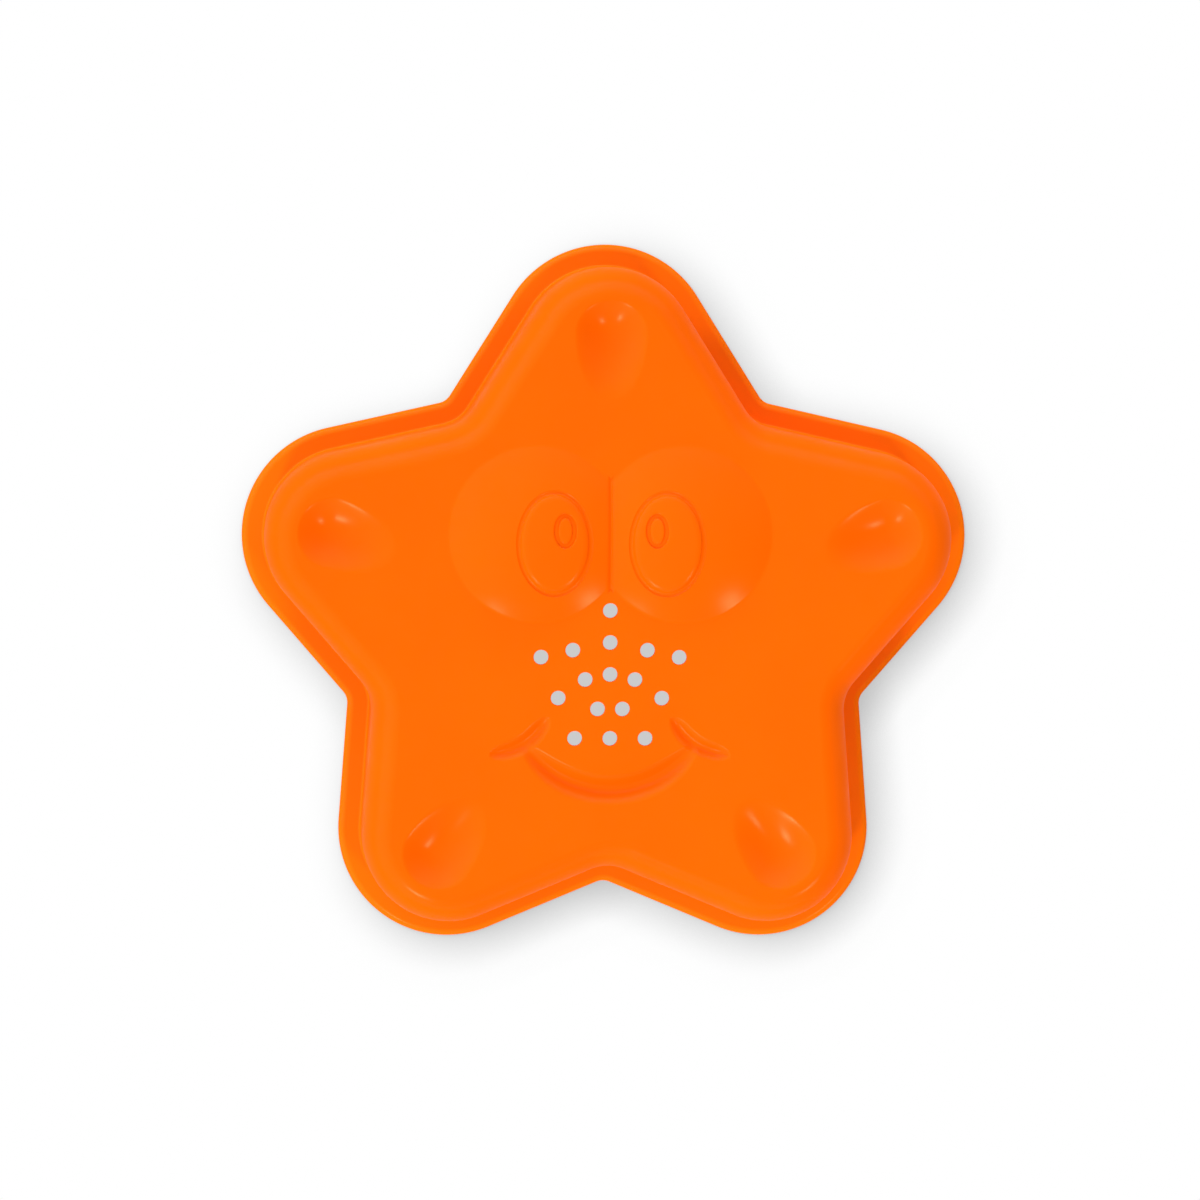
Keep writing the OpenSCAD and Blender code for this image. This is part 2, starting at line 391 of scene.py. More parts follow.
def cut(piece, cutter):
    apply(piece, "BOOLEAN", operation="DIFFERENCE", solver="EXACT", object=cutter)


# %% [markdown]
# Each eye is the cap of a large ball. On the real mould its foot is a crisp line with hardly any
# rounding, and the two eyes meet in a narrow notch. The heights of both are worked out here, so
# that a flat layout of rings can be draped over them.
# %% The shape of the eyes
FOOT_W = 0.35 * MM
NOTCH_W = 0.4 * MM
NOTCH_DEPTH = 0.25 * MM
eye_low, eye_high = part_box("right_eye")
eye_r = (eye_high.y - eye_low.y) / 2
eye = Vector((eye_high.x - eye_r, (eye_low.y + eye_high.y) / 2, 0))
eye_rise = eye_high.z - face_z
ball_r = (eye_r ** 2 + eye_rise ** 2) / (2 * eye_rise)
ball_z = face_z + eye_rise - ball_r
print("Eye ball radius:", round(ball_r, 4), "rise:", round(eye_rise, 5))


def ball(x, y):
    return ball_z + sqrt(ball_r ** 2 - (x - eye.x) ** 2 - (y - eye.y) ** 2)


def foot(r):
    """Height of the rounded foot, from the flat face to the ball."""
    slope = eye_r / (ball_r - eye_rise)
    return face_z + slope * max(0, eye_r + FOOT_W - r) ** 2 / (4 * FOOT_W)


def notched_ball(x, y):
    """The ball with the notch at the middle of the face. Past the middle it rises again."""
    return ball(abs(x), y) - NOTCH_DEPTH * exp(-(x / NOTCH_W) ** 2)


# %% [markdown]
# A fine groove runs round each pupil, so the eye's dome ends there and the pupil is a piece of
# its own. The groove takes some room from the pupil, more at its ends than at its sides. The
# outline of the pupil serves both pieces.
# %% The pupil's outline
GROOVE_W = 1.0 * MM
GROOVE_DEPTH = 0.28 * MM
PUPIL_TRIM_W = 0.35 * MM
PUPIL_TRIM_L = 0.7 * MM
pupil_low, pupil_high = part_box("right_pupil")
pupil = (pupil_low + pupil_high) / 2
pupil_w = (pupil_high.x - pupil_low.x) / 2 - PUPIL_TRIM_W
pupil_l = (pupil_high.y - pupil_low.y) / 2 - PUPIL_TRIM_L


def pupil_ring(shift, z):
    """The pupil's outline, drawn in by a shift, at a height above the ball."""
    return [pupil.x, pupil.y, pupil_w - shift, pupil_l - shift, z]


print("Pupil half sizes:", round(pupil_w, 5), round(pupil_l, 5))

# %% [markdown]
# The right eye is made, and its twin is mirrored from it. The rings run from the foot's circle to
# the oval of the pupil, so that the pupil's edge gets the finest faces. A few straight cuts beside
# the middle give the notch its points. The dome is made a little too wide and is cut off at the
# middle last, so that the two eyes meet in one plane.
# %% The domed eyes
DOME_STEPS = 16
PAST_NOTCH = 3
NOTCH_CUTS = (-2, -1, -0.5, 0, 0.25, 0.5, 0.75, 1, 1.4, 2, 3)


def slice_at(piece, x, **cleared):
    edit(piece)
    bpy.ops.mesh.select_all(action="SELECT")
    bpy.ops.mesh.bisect(plane_co=(x, 0, 0), plane_no=(1, 0, 0), threshold=HAIR, **cleared)
    bpy.ops.object.mode_set(mode="OBJECT")


foot_radii = [eye_r + FOOT_W * k for k in (1, 0.5, 0, -0.5, -1)]
eye_rings = [[eye.x, eye.y, r, r, foot(r) - ball(eye.x + r, eye.y)]
             for r in [eye_r + FOOT_W + BORDER] + foot_radii]
eye_rings.append([eye.x, eye.y, eye_r - 2 * FOOT_W, eye_r - 2 * FOOT_W, 0])
eye_rings += between(eye_rings[-1], pupil_ring(-GROOVE_W - BORDER, 0), DOME_STEPS)
right_eye_dome = ringed("right_eye_dome", eye_rings, False)
eye_border = outer_border(right_eye_dome)
slice_at(right_eye_dome, -PAST_NOTCH * NOTCH_W, clear_inner=True)
for step in NOTCH_CUTS:
    slice_at(right_eye_dome, step * NOTCH_W)
drape(right_eye_dome, notched_ball)
face_up(right_eye_dome)
thicken(right_eye_dome)
slice_at(right_eye_dome, 0, use_fill=True, clear_inner=True)
only(right_eye_dome)
bpy.ops.object.shade_smooth_by_angle(angle=SMOOTH_ANGLE)
left_eye_dome = mirrored(right_eye_dome, "left_eye_dome")
print("Eye dome:", len(right_eye_dome.data.polygons), "faces")

# %% [markdown]
# A pupil is a thin oval pad on the ball. Its edge is rounded like a pillow, and the glint stands
# in a ring that is sunk into the pad. The heights come from a quarter of an oval, which is how a
# rounded mould edge is cut.
# %% The pupils
PUPIL_RISE = 0.5 * MM
PAD_ROUND = 1.2 * MM
SUNK_W = 0.7 * MM
SUNK_ROUND = 0.45 * MM
SUNK_RISE = 0.05 * MM
GROOVE_STEPS = 6
PAD_STEPS = 8
SUNK_STEPS = 6
glint_low, glint_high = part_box("right_glint")
glint = (glint_low + glint_high) / 2
glint_w = (glint_high.x - glint_low.x) / 2
glint_l = (glint_high.y - glint_low.y) / 2


def glint_ring(shift, z):
    return [glint.x, glint.y, glint_w - shift, glint_l - shift, z]


def quarter(steps):
    """Shares of the way in and of the way up along a rounded edge."""
    return [(1 - cos(pi / 2 * k / steps), sin(pi / 2 * k / steps)) for k in range(steps + 1)]


def above_sunk(up):
    """A height that rises from the sunk ring to the top of the pad."""
    return SUNK_RISE + (PUPIL_RISE - SUNK_RISE) * up


pad_rings = [pupil_ring(-GROOVE_W - BORDER, 0)]
pad_rings += [pupil_ring(-GROOVE_W * (1 - k / GROOVE_STEPS), -GROOVE_DEPTH * sin(pi * k / GROOVE_STEPS))
              for k in range(GROOVE_STEPS)]
pad_rings += [pupil_ring(PAD_ROUND * inward, PUPIL_RISE * up) for inward, up in quarter(PAD_STEPS)]
pad_rings += between(pad_rings[-1], glint_ring(-SUNK_W - SUNK_ROUND - BORDER, PUPIL_RISE), PAD_STEPS)
pad_rings += [glint_ring(-SUNK_W - SUNK_ROUND * outward, above_sunk(up))
              for outward, up in reversed(quarter(SUNK_STEPS))]
pad_rings += [glint_ring(-SUNK_W / 2, SUNK_RISE)]
right_pupil_pad = ringed("right_pupil_pad", pad_rings, False)
drape(right_pupil_pad, ball)
face_up(right_pupil_pad)
thicken(right_pupil_pad)
left_pupil_pad = mirrored(right_pupil_pad, "left_pupil_pad")
print("Pupil pad:", len(right_pupil_pad.data.polygons), "faces")

# %% [markdown]
# The glint is a small oval button in the middle of the sunk ring, as high as the pad around it.
# It has the same rounded edge, and its flat top closes in three rings.
# %% The glints
GLINT_ROUND = 0.5 * MM
GLINT_STEPS = 6
GLINT_TOP_SHARES = (0.7, 0.4, 0.15)
dot_rings = [glint_ring(-SUNK_W / 2, SUNK_RISE)]
dot_rings += [glint_ring(GLINT_ROUND * inward, above_sunk(up)) for inward, up in quarter(GLINT_STEPS)]
dot_rings += [[glint.x, glint.y, dot_rings[-1][2] * share, dot_rings[-1][3] * share, PUPIL_RISE]
              for share in GLINT_TOP_SHARES]
right_glint_dot = ringed("right_glint_dot", dot_rings, True)
drape(right_glint_dot, ball)
face_up(right_glint_dot)
thicken(right_glint_dot)
left_glint_dot = mirrored(right_glint_dot, "left_glint_dot")
print("Glint:", len(right_glint_dot.data.polygons), "faces")

# %% [markdown]
# Each arm has a hollow for a fingertip, shaped like an egg: short and steep towards the arm's tip,
# long and gentle towards the face. A flat disc is laid out in rings, each half of it is stretched
# by its own length, and its points then sink into the hollow.
# %% The shape of a finger dimple
DIMPLE_HALF_W = 7.3 * MM
DIMPLE_OUT = 7.0 * MM
DIMPLE_IN = 13.4 * MM
DIMPLE_DEPTH = 2.9 * MM
DIMPLE_RINGS = 24
HOLLOW_POWER = 1.6
STEEPER_BY = 0.4
TINY_SHARE = 0.001


def hollow_depth(x, y):
    """How deep the hollow is. Towards the arm's tip it falls off steeply right from its edge."""
    along, across = x / (DIMPLE_OUT if x > 0 else DIMPLE_IN), y / DIMPLE_HALF_W
    share = min(1, hypot(along, across))
    tipward = (1 + along / max(share, TINY_SHARE)) / 2
    return DIMPLE_DEPTH * (1 - share ** 2) ** (HOLLOW_POWER - STEEPER_BY * tipward)


disc_radii = [DIMPLE_HALF_W + BORDER]
disc_radii += [DIMPLE_HALF_W * (1 - k / DIMPLE_RINGS) for k in range(DIMPLE_RINGS)]
bowl = ringed("top_finger_dimple", [[0, 0, r, r, 0] for r in disc_radii], True)
edit(bowl)
for side, length in ((1, DIMPLE_OUT), (-1, DIMPLE_IN)):
    pick("verts", lambda v: v.co.x * side > HAIR)
    bpy.ops.transform.resize(value=(length / DIMPLE_HALF_W, 1, 1), center_override=(0, 0, 0))
bpy.ops.object.mode_set(mode="OBJECT")
drape(bowl, lambda x, y: -hollow_depth(x, y))
face_up(bowl)
print("Hollow:", len(bowl.data.polygons), "faces before it gets its thickness")

# %% [markdown]
# The hollow is copied onto the five arms. Each copy is turned so that its steep side points to the
# arm's tip, and only then gets its thickness.
# %% The five finger dimples
DIMPLE_NAMES = ["top", "left", "lower_left", "lower_right", "right"]
dimple_shift = TIP_R - panel_inset - DIMPLE_OUT - 2 * BORDER
dimples = []
dimple_borders = []
for arm, place in enumerate(DIMPLE_NAMES):
    only(bowl)
    bpy.ops.object.duplicate()
    dimple = named(place + "_finger_hollow")
    way = star_place(tip_reach, arm) - Vector((0, star_y, 0))
    dimple.location = star_place(tip_reach, arm) + dimple_shift * way.normalized() + Vector((0, 0, face_z))
    dimple.rotation_euler.z = bearing(way)
    bpy.ops.object.transform_apply(location=True, rotation=True, scale=True)
    dimple_borders.append(outer_border(dimple))
    thicken(dimple)
    dimples.append(dimple)
bpy.data.objects.remove(bowl)
print("Dimples:", len(dimples), "deepest", round(dimple_shift, 5), "past the tips' centres")

# %% [markdown]
# The smile is a groove along an arc. Both its sides roll over softly at the lip and meet in a
# smooth floor, and it grows narrow and shallow towards its ends. The two cheek creases are the same
# shape, smaller and turned outwards. A groove is a few numbers here, which give its depth anywhere.
# %% The shape of the smile and the cheek creases
END_WIDTH = 0.35
CHEEK_TURN = 33


def groove_line(x, y, r, facing, spread, lip, floor, ramp, depth):
    """A groove along an arc of radius r, with its centre at x and so far below the star's middle.

    Facing is the direction of its middle, and spread is half its turn. The lip says how far inside
    the arc the groove starts, the floor how far outside it is deepest, and the ramp how far outside
    it ends. All in millimetres and degrees.
    """
    return {"x": x * MM, "y": star_y - y * MM, "r": r * MM, "facing": radians(facing),
            "spread": radians(spread), "lip": lip * MM, "floor": floor * MM, "ramp": ramp * MM,
            "depth": depth * MM}


smile_line = groove_line(x=0, y=13.5, r=20.8, facing=-90, spread=57,
                         lip=3.8, floor=-0.4, ramp=2.9, depth=2.05)
right_line, left_line = [
    groove_line(x=side * 23.6, y=15.1, r=11.9, facing=-90 - side * CHEEK_TURN, spread=37,
                lip=2.8, floor=-0.6, ramp=1.6, depth=1.3)
    for side in (1, -1)
]


def fullness(turn_share):
    """How full a groove is along its length: 1 at the middle and 0 past its ends."""
    return max(0, 1 - turn_share ** 4)


def width_share(turn_share):
    return END_WIDTH + (1 - END_WIDTH) * fullness(turn_share)


def smooth(t):
    t = min(1, max(0, t))
    return t * t * (3 - 2 * t)


def groove_depth(line, x, y):
    out = Vector((x - line["x"], y - line["y"]))
    turned = (bearing(out) - line["facing"] + pi) % (2 * pi) - pi
    share = turned / line["spread"]
    step = (out.length - line["r"]) / width_share(min(1, abs(share)))
    if step < line["floor"]:
        down = smooth((step + line["lip"]) / (line["lip"] + line["floor"]))
    else:
        down = 1 - smooth((step - line["floor"]) / (line["ramp"] - line["floor"]))
    return line["depth"] * fullness(share) * down


def face_height(x, y):
    return face_z - sum(groove_depth(line, x, y) for line in (smile_line, right_line, left_line))


# %% [markdown]
# A flat grid is bent round each groove's centre, and every point takes the depth of all three
# grooves there, so that they run into each other without a seam. The smile gives way to the
# creases where they cross it, so each crease's border is cut out of it.
# %% The smile and the cheek creases
GRID_LONG = 180
GRID_HALF = 18
PAST_ENDS = 1.03
BORDER_TURN = 12
LIP_CUT_BELOW = 2 * MM


def groove_place(line, u, v):
    """Where a point of the flat grid lies on the face: u along the groove, v across it."""
    share = PAST_ENDS * u
    across = line["lip"] + line["floor"] if v < 0 else line["ramp"] - line["floor"]
    border = BORDER * max(-1, min(1, v * BORDER_TURN))
    out = (line["floor"] + v * across) * width_share(min(1, abs(share))) + border
    spot = (line["r"] + out) * toward(line["facing"] + share * line["spread"])
    return line["x"] + spot.x, line["y"] + spot.y


def groove_sheet(name, line):
    deselect()
    bpy.ops.mesh.primitive_grid_add(x_subdivisions=GRID_LONG, y_subdivisions=2 * GRID_HALF, size=2)
    piece = named(name)
    for vertex in piece.data.vertices:
        x, y = groove_place(line, vertex.co.x, vertex.co.y)
        vertex.co = (x, y, face_height(x, y))
    face_up(piece)
    thicken(piece)
    return piece


def groove_border(line):
    along = [2 * k / GRID_LONG - 1 for k in range(GRID_LONG)]
    across = [k / GRID_HALF - 1 for k in range(2 * GRID_HALF)]
    sides = [(u, -1) for u in along] + [(1, v) for v in across]
    return [groove_place(line, u, v) for u, v in sides + [(-u, -v) for u, v in sides]]


lip_cuts = [prism(groove_border(line), LIP_CUT_BELOW) for line in (right_line, left_line)]
smile_groove = groove_sheet("smile_groove", smile_line)
for cutter in lip_cuts:
    cut(smile_groove, cutter)
right_cheek_crease = groove_sheet("right_cheek_crease", right_line)
left_cheek_crease = groove_sheet("left_cheek_crease", left_line)
print("Smile:", len(smile_groove.data.polygons), "faces, cheek:", len(right_cheek_crease.data.polygons))

# %% [markdown]
# Sixteen sieve holes let water and dry sand through. They stand in a fan below the eyes. Each one
# is given as a share of the fan's half width and of its length, and all but the ones in the middle
# have a twin on the left.
# %% Where the sieve holes are
HOLE_R = 1.5 * MM
HOLE_POINTS = 48
HOLES_HALF_W = 14 * MM
HOLES_LEN = 25.9 * MM
HOLES_UP = 2.4 * MM
HOLE_SHARES = [
    [0, 0], [0, 0.25], [0.54, 0.31], [1, 0.365], [0, 0.5],
    [0.36, 0.54], [0.75, 0.685], [0.18, 0.77], [0, 1], [0.51, 1],
]
holes_y = star_y + HOLES_UP
holes = [Vector((side * across * HOLES_HALF_W, holes_y - down * HOLES_LEN))
         for across, down in HOLE_SHARES for side in ((1, -1) if across else (1,))]
hole_turns = [2 * pi * k / HOLE_POINTS for k in range(HOLE_POINTS)]
circles = [[hole + HOLE_R * Vector((cos(a), sin(a))) for a in hole_turns] for hole in holes]
print("Sieve holes:", len(holes))

# %% [markdown]
# The face gets its openings last, from the finished shell, which keeps it one flat surface.
# Cutters that lie clear of each other cut together. The smile touches the creases, so it is cut
# after them, and the two eyes overlap at the middle, so the left one is cut last.
# %% Openings in the face


def cut_together(piece, cutters):
    """Cuts with several prisms at once, which have to lie clear of each other."""
    only(cutters[0])
    for cutter in cutters:
        cutter.select_set(True)
    bpy.ops.object.join()
    cut(piece, cutters[0])
    bpy.data.objects.remove(cutters[0])


cut_together(mould_shell, lip_cuts + [prism(border) for border in circles + dimple_borders])
cut_together(mould_shell, [prism(eye_border), prism(groove_border(smile_line))])
left_eye_cut = prism([(-x, y) for x, y in eye_border])
cut(mould_shell, left_eye_cut)
bpy.data.objects.remove(left_eye_cut)
print("Shell with its openings:", len(mould_shell.data.polygons), "faces")

# %% [markdown]
# The sieve holes get the small rounded edge that a real one has. Weighted normals then keep the
# large flat face evenly shaded right up to these narrow bevels.
# %% Rounded sieve holes
HOLE_ROUND = 0.2 * MM


def on_hole_edge(edge, hole):
    return all(abs(v.co.z - face_z) < NEAR and abs((v.co.xy - hole).length - HOLE_R) < NEAR
               for v in edge.verts)


edit(mould_shell)
pick("edges", lambda edge: any(on_hole_edge(edge, hole) for hole in holes))
bpy.ops.mesh.bevel(offset=HOLE_ROUND, segments=3, profile=0.5, affect="EDGES", clamp_overlap=False)
bpy.ops.object.mode_set(mode="OBJECT")
only(mould_shell)
bpy.ops.object.shade_smooth_by_angle(angle=SMOOTH_ANGLE)
apply(mould_shell, "WEIGHTED_NORMAL", keep_sharp=True, weight=50, mode="FACE_AREA")
print("Finished shell:", len(mould_shell.data.polygons), "faces")

# %% [markdown]
# A material is a web of nodes. These helpers set a node's own sockets, feed a socket from another
# node, and make the kinds of node that come back most: a calculation, a soft noise, a map from one
# span of values to another, and a blend of two colours.
# %% Helpers for materials


def new_material(name):
    """A material, its tree of nodes and its main shader."""
    material = bpy.data.materials.new(name)
    material.use_nodes = True
    return material, material.node_tree, material.node_tree.nodes["Principled BSDF"]


def fill(node, values):
    """Sets a node's own sockets by their names."""
    for name, value in values.items():
        node.inputs[name].default_value = value


def feed(tree, slot, value):
    """Links a socket to another node's output, or sets it if the value is plain."""
    if isinstance(value, bpy.types.NodeSocket):
        tree.links.new(value, slot)
    else:
        slot.default_value = value


def calculate(tree, operation, *values):
    node = tree.nodes.new("ShaderNodeMath")
    node.operation = operation
    for slot, value in zip(node.inputs, values):
        feed(tree, slot, value)
    return node.outputs["Value"]


def clouds(tree, place, scale, detail, roughness=0.5):
    node = tree.nodes.new("ShaderNodeTexNoise")
    fill(node, {"Scale": scale, "Detail": detail, "Roughness": roughness})
    tree.links.new(place, node.inputs["Vector"])
    return node.outputs["Fac"]


def map_span(tree, source, low, high, start=0.35, end=0.65):
    """Maps a span of the source to low and high. The usual span is the one that most of a noise fills."""
    node = tree.nodes.new("ShaderNodeMapRange")
    fill(node, {"From Min": start, "From Max": end, "To Min": low, "To Max": high})
    tree.links.new(source, node.inputs["Value"])
    return node.outputs["Result"]


def blend(tree, share, first, second):
    node = tree.nodes.new("ShaderNodeMix")
    node.data_type = "RGBA"
    feed(tree, node.inputs["Factor"], share)
    feed(tree, node.inputs["A"], first)
    feed(tree, node.inputs["B"], second)
    return node.outputs["Result"]


# %% [markdown]
# The whole mould is one orange plastic with a satin skin. Broad soft clouds change its colour a
# little where the plastic flowed. Low down, near the white table, the orange is painted paler:
# painted light that stands in for the light coming through the plastic there. The skin is rougher
# in some patches than in others, and has a fine grain from the steel of the tool. Over it lies a
# thin film of gloss, which catches the glints. It is weaker in patches, and fades where the surface
# is seen at a low angle, so that the edges stay orange. Every pattern is worked out from the place
# on the piece.
# %% The satin orange plastic
ORANGE = (0.97, 0.131, 0.0005, 1)
DEEP_ORANGE = (0.95, 0.121, 0.0004, 1)
# Painted light: this paler orange low down stands in for light coming through the plastic from the table.
PAINTED_LIGHT_ORANGE = (0.97, 0.172, 0.002, 1)
WARM_SHINE = (1, 0.85, 0.25, 1)
MOST_DEEP = 0.6
PAINTED_LIGHT_BELOW = 2.5 * MM
PAINTED_LIGHT_GONE_ABOVE = 7 * MM
SATIN_LEAST = 0.42
SATIN_MOST = 0.52
FILM_FULL = 0.12
FILM_GONE = 0.42
FILM_RUBBED = 0.7


def flowed_orange_with_painted_light(tree, place):
    """The colour: two oranges in clouds, and a paler orange painted low down as painted light."""
    flow = map_span(tree, clouds(tree, place, scale=45, detail=3), 0, MOST_DEEP)
    body = blend(tree, flow, ORANGE, DEEP_ORANGE)
    height = tree.nodes.new("ShaderNodeSeparateXYZ")
    tree.links.new(place, height.inputs["Vector"])
    # Share of the painted light: full below the first height and gone above the second.
    thickness = map_span(tree, height.outputs["Z"], 0, 1, PAINTED_LIGHT_BELOW, PAINTED_LIGHT_GONE_ABOVE)
    return blend(tree, thickness, PAINTED_LIGHT_ORANGE, body)


def film_of_gloss(tree, place):
    """The weight of the film: full from above, gone at a low angle, and rubbed in patches."""
    facing = tree.nodes.new("ShaderNodeLayerWeight").outputs["Facing"]
    film = map_span(tree, facing, 1, 0, FILM_FULL, FILM_GONE)
    rubbed = map_span(tree, clouds(tree, place, scale=300, detail=4, roughness=0.6), FILM_RUBBED, 1)
    return calculate(tree, "MULTIPLY", film, rubbed)


def make_orange_plastic():
    material, tree, shader = new_material("satin_orange_plastic")
    place = tree.nodes.new("ShaderNodeTexCoord").outputs["Object"]
    satin = clouds(tree, place, scale=160, detail=6, roughness=0.65)
    grain = tree.nodes.new("ShaderNodeBump")
    fill(grain, {"Strength": 0.12, "Distance": 0.02 * MM})
    tree.links.new(clouds(tree, place, scale=4200, detail=2), grain.inputs["Height"])
    feed(tree, shader.inputs["Base Color"], flowed_orange_with_painted_light(tree, place))
    feed(tree, shader.inputs["Roughness"], map_span(tree, satin, SATIN_LEAST, SATIN_MOST))
    feed(tree, shader.inputs["Coat Weight"], film_of_gloss(tree, place))
    feed(tree, shader.inputs["Normal"], grain.outputs["Normal"])
    fill(shader, {"Specular IOR Level": 0.01, "Specular Tint": WARM_SHINE})
    fill(shader, {"Coat IOR": 1.15, "Coat Roughness": 0.2})
    return material


orange_plastic = make_orange_plastic()
print("Plastic:", len(orange_plastic.node_tree.nodes), "nodes")

# %% [markdown]
# Each finished piece says which measured solids it stands for. The shell stands for four of them,
# because they are one flowing surface on the real mould. Nothing moves, so all ride on one body.
# %% What each piece stands for
stands_for = [
    (mould_shell, ["rim", "side_wall", "shoulder", "face_panel"]),
    (left_eye_dome, ["left_eye"]), (right_eye_dome, ["right_eye"]),
    (left_pupil_pad, ["left_pupil"]), (right_pupil_pad, ["right_pupil"]),
    (left_glint_dot, ["left_glint"]), (right_glint_dot, ["right_glint"]),
    (smile_groove, ["smile"]), (left_cheek_crease, ["left_cheek"]), (right_cheek_crease, ["right_cheek"]),
]
stands_for += [(dimple, [place + "_dimple"]) for dimple, place in zip(dimples, DIMPLE_NAMES)]
for piece, solids in stands_for:
    piece.data.materials.clear()
    piece.data.materials.append(orange_plastic)
    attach(piece, "root")
    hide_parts(*solids)
print("Pieces:", len(stands_for))

# %% [markdown]
# The mould lies on a white table, as for a catalogue picture. The camera sees the table as white
# paper with a painted soft grey shadow close round the mould: an ambient occlusion node dims the
# paper's white there, tilted so that it is darker to the right and below, where the light is
# weaker. A card under the mould glows pale grey for the camera through the sieve holes, painted
# light where the table under the shell lies in shade. The paper's white belongs to what the camera
# and clear reflections see, so it adds no light.
# %% The white papers
PAPER = (0.8, 0.8, 0.8, 1)
SHADOW_REACH = 14 * MM
SHADOW_SIDE = (-0.35, 0.3, 0.9)
SHADOW_CORE = 0.45
SHADOW_EDGE = 0.97
SHADOW_GREY = 0.53
SHADOW_SAMPLES = 16


def painted_soft_shadow(tree):
    """Painted shadow: how bright the paper looks, full away from the mould and grey close to it."""
    near = tree.nodes.new("ShaderNodeAmbientOcclusion")
    near.samples = SHADOW_SAMPLES
    near.inputs["Distance"].default_value = SHADOW_REACH
    tilt = tree.nodes.new("ShaderNodeCombineXYZ")
    for slot, value in zip(tilt.inputs, SHADOW_SIDE):
        slot.default_value = value
    tree.links.new(tilt.outputs["Vector"], near.inputs["Normal"])
    return map_span(tree, near.outputs["AO"], SHADOW_GREY, 1, SHADOW_CORE, SHADOW_EDGE)


def make_white(name, grey, shaded):
    """A white paper. The camera sees its own plain glow at the given grey, dimmed close to the mould by a
    painted shadow if it is shaded.
    """
    material, tree, shader = new_material(name)
    fill(shader, {"Base Color": PAPER, "Roughness": 0.9, "Specular IOR Level": 0})
    glow = tree.nodes.new("ShaderNodeEmission")
    glow.inputs["Color"].default_value = (grey, grey, grey, 1)
    if shaded:
        tree.links.new(painted_soft_shadow(tree), glow.inputs["Strength"])
    path = tree.nodes.new("ShaderNodeLightPath")
    seen = path.outputs["Is Camera Ray"]
    for ray in ("Is Glossy Ray", "Is Transmission Ray"):
        seen = calculate(tree, "MAXIMUM", seen, path.outputs[ray])
    choice = tree.nodes.new("ShaderNodeMixShader")
    tree.links.new(seen, choice.inputs["Fac"])
    tree.links.new(shader.outputs["BSDF"], choice.inputs[1])
    tree.links.new(glow.outputs["Emission"], choice.inputs[2])
    tree.links.new(choice.outputs["Shader"], tree.nodes["Material Output"].inputs["Surface"])
    return material


# %% [markdown]
# The table is large enough to fill every view. It lies a hair below the rim, and the card lies
# just above it, well inside the mould's mouth.
# %% The table and the card
TABLE_SIZE = 4.0
TABLE_GAP = 0.02 * MM
TABLE_WHITE = 1
CARD_R = 35 * MM
CARD_POINTS = 64
CARD_HEIGHT = MM / 2
CARD_PAINTED_LIGHT = 0.6
deselect()
bpy.ops.mesh.primitive_plane_add(size=TABLE_SIZE, location=(0, 0, solid_low.z - TABLE_GAP))
table = named("studio_table")
# Painted shadow: the table's white is dimmed close round the mould.
table.data.materials.append(make_white("table_white_painted_shadow", TABLE_WHITE, True))
# Painted light: the card glows pale grey for the camera where the table under the shell lies in shade.
bpy.ops.mesh.primitive_circle_add(
    vertices=CARD_POINTS, radius=CARD_R, fill_type="NGON", location=(0, star_y, CARD_HEIGHT))
card = named("painted_light_card")
card.data.materials.append(make_white("card_painted_light", CARD_PAINTED_LIGHT, False))
print("Stage:", table.name, card.name)

# %% [markdown]
# A white tent stands all round the mould. It is dim overhead and dimmer still low on the right. Low
# down it is brighter on the left and at the bottom of the picture, and brightest at the top. So
# most slopes are lighter than the flat face, and those to the right are darker. Its strength is
# worked out from the direction alone, as one part that reaches overhead and one that grows low down.
# %% The tent
TENT_LEVEL = 0.47
TENT_FROM_LEFT = 0.5
TENT_FROM_TOP = 0.25
LOW_LEVEL = 0.6
LOW_FROM_LEFT = 0.25
LOW_FROM_TOP = 1
LOW_FROM_ENDS = 1.9
TENT_LEAST = 0.05
world = bpy.data.worlds.new("studio_tent")
bpy.context.scene.world = world
world.use_nodes = True
tent_tree = world.node_tree


def tent_sum(factor, amount, rest):
    """The factor times the amount, plus the rest."""
    return calculate(tent_tree, "MULTIPLY_ADD", factor, amount, rest)


split = tent_tree.nodes.new("ShaderNodeSeparateXYZ")
direction = tent_tree.nodes.new("ShaderNodeTexCoord").outputs["Generated"]
tent_tree.links.new(direction, split.inputs["Vector"])
sideways, lengthways, upwards = split.outputs["X"], split.outputs["Y"], split.outputs["Z"]
lowness = calculate(tent_tree, "SUBTRACT", 1, upwards)
endways = calculate(tent_tree, "MULTIPLY", lengthways, lengthways)
low = calculate(tent_tree, "MULTIPLY", lowness, LOW_LEVEL)
low = tent_sum(sideways, -LOW_FROM_LEFT, low)
low = tent_sum(lengthways, LOW_FROM_TOP, low)
low = tent_sum(endways, LOW_FROM_ENDS, low)
light = tent_sum(sideways, -TENT_FROM_LEFT, TENT_LEVEL)
light = tent_sum(lengthways, TENT_FROM_TOP, light)
light = tent_sum(low, lowness, light)
tent = tent_tree.nodes["Background"]
tent.inputs["Color"].default_value = (1, 1, 1, 1)
tent_tree.links.new(calculate(tent_tree, "MAXIMUM", light, TENT_LEAST), tent.inputs["Strength"])
print("Tent:", len(tent_tree.nodes), "nodes")

# %% [markdown]
# Two small warm softboxes stand beyond the bottom of the picture, one left and one right of the
# middle. The film of gloss mirrors them as the few glints on the eyes and in the dimples.
# %% The softboxes
WARM_BOX = (1, 0.94, 0.45)
BOX_DISTANCE = 1.1
BOX_SIZE = 0.16


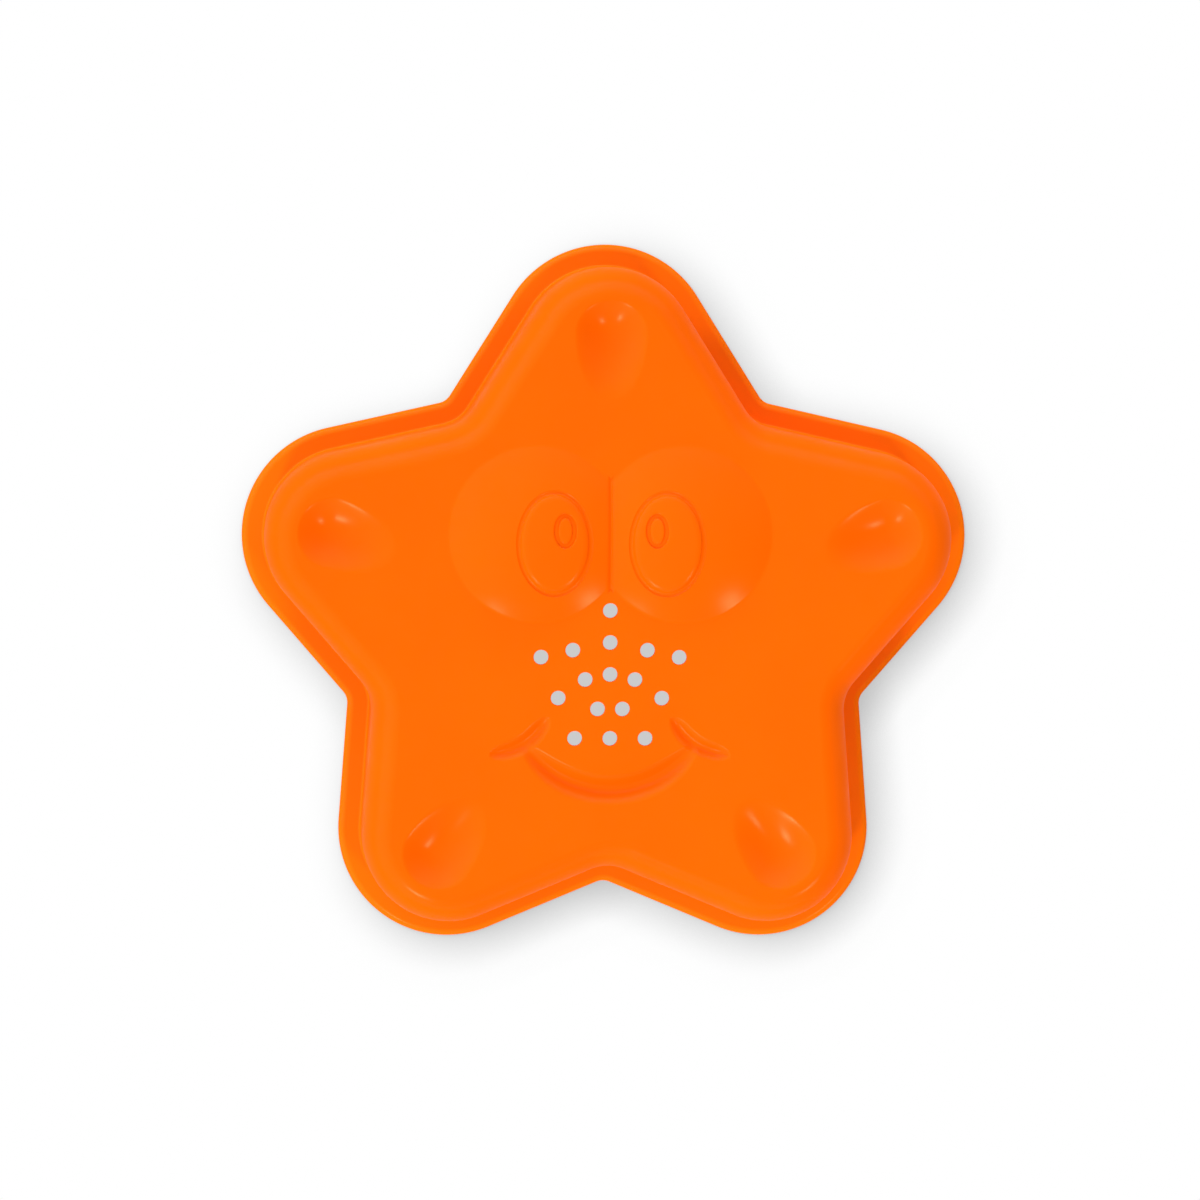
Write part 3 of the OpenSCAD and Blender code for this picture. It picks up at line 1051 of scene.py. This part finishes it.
def softbox(name, azimuth, height, power):
    """A square lamp that looks at the mould. Azimuth 0 is to the right and 90 at the top of the picture."""
    a, h = radians(azimuth), radians(height)
    way = Vector((cos(a) * cos(h), sin(a) * cos(h), sin(h)))
    lamp = bpy.data.lights.new(name, "AREA")
    lamp.size = BOX_SIZE
    lamp.energy = power
    lamp.color = WARM_BOX
    lamp_object = bpy.data.objects.new(name, lamp)
    lamp_object.location = way * BOX_DISTANCE
    lamp_object.rotation_mode = "QUATERNION"
    lamp_object.rotation_quaternion = way.to_track_quat("Z", "Y")
    bpy.context.scene.collection.objects.link(lamp_object)


softbox("lower_left_softbox", azimuth=-117, height=41, power=4.6)
softbox("lower_right_softbox", azimuth=-51, height=44, power=3.4)
print("Lamps:", [lamp.name for lamp in bpy.data.lights])

# %% [markdown]
# The picture was taken almost straight down from about 1.2 m with a long lens. The camera leans a
# few degrees to the left and to the top, which is why more of the rim shows on those two sides.
# Its place, its aim and its lens were found by laying the mould's outline over the one in the photo.
# %% The camera
CAMERA_DISTANCE = 1.2
LEAN_X = radians(-2.57)
LEAN_Y = radians(2.6)
ROLL = radians(-0.22)
AIM_X = -0.786 * MM
AIM_UP = 3.207 * MM
SENSOR = 36
FOCUS_SHARE = 4.823
back = Vector((tan(LEAN_X), tan(LEAN_Y), 1)).normalized()
up_hint = Vector((sin(ROLL), cos(ROLL), 0))
right = up_hint.cross(back).normalized()
up = back.cross(right)
target = Vector((AIM_X, star_y + AIM_UP, 0))
lens = bpy.data.cameras.new("photo_camera")
lens.sensor_width = SENSOR
lens.lens = SENSOR * FOCUS_SHARE
camera = bpy.data.objects.new("photo_camera", lens)
camera.matrix_world = Matrix((
    (right.x, up.x, back.x, target.x + CAMERA_DISTANCE * back.x),
    (right.y, up.y, back.y, target.y + CAMERA_DISTANCE * back.y),
    (right.z, up.z, back.z, target.z + CAMERA_DISTANCE * back.z),
    (0, 0, 0, 1),
))
bpy.context.scene.collection.objects.link(camera)
bpy.context.scene.camera = camera
bpy.context.scene.view_settings.view_transform = "Standard"
print("Camera at", [round(v, 3) for v in camera.matrix_world.translation], "lens", round(lens.lens, 1), "mm")
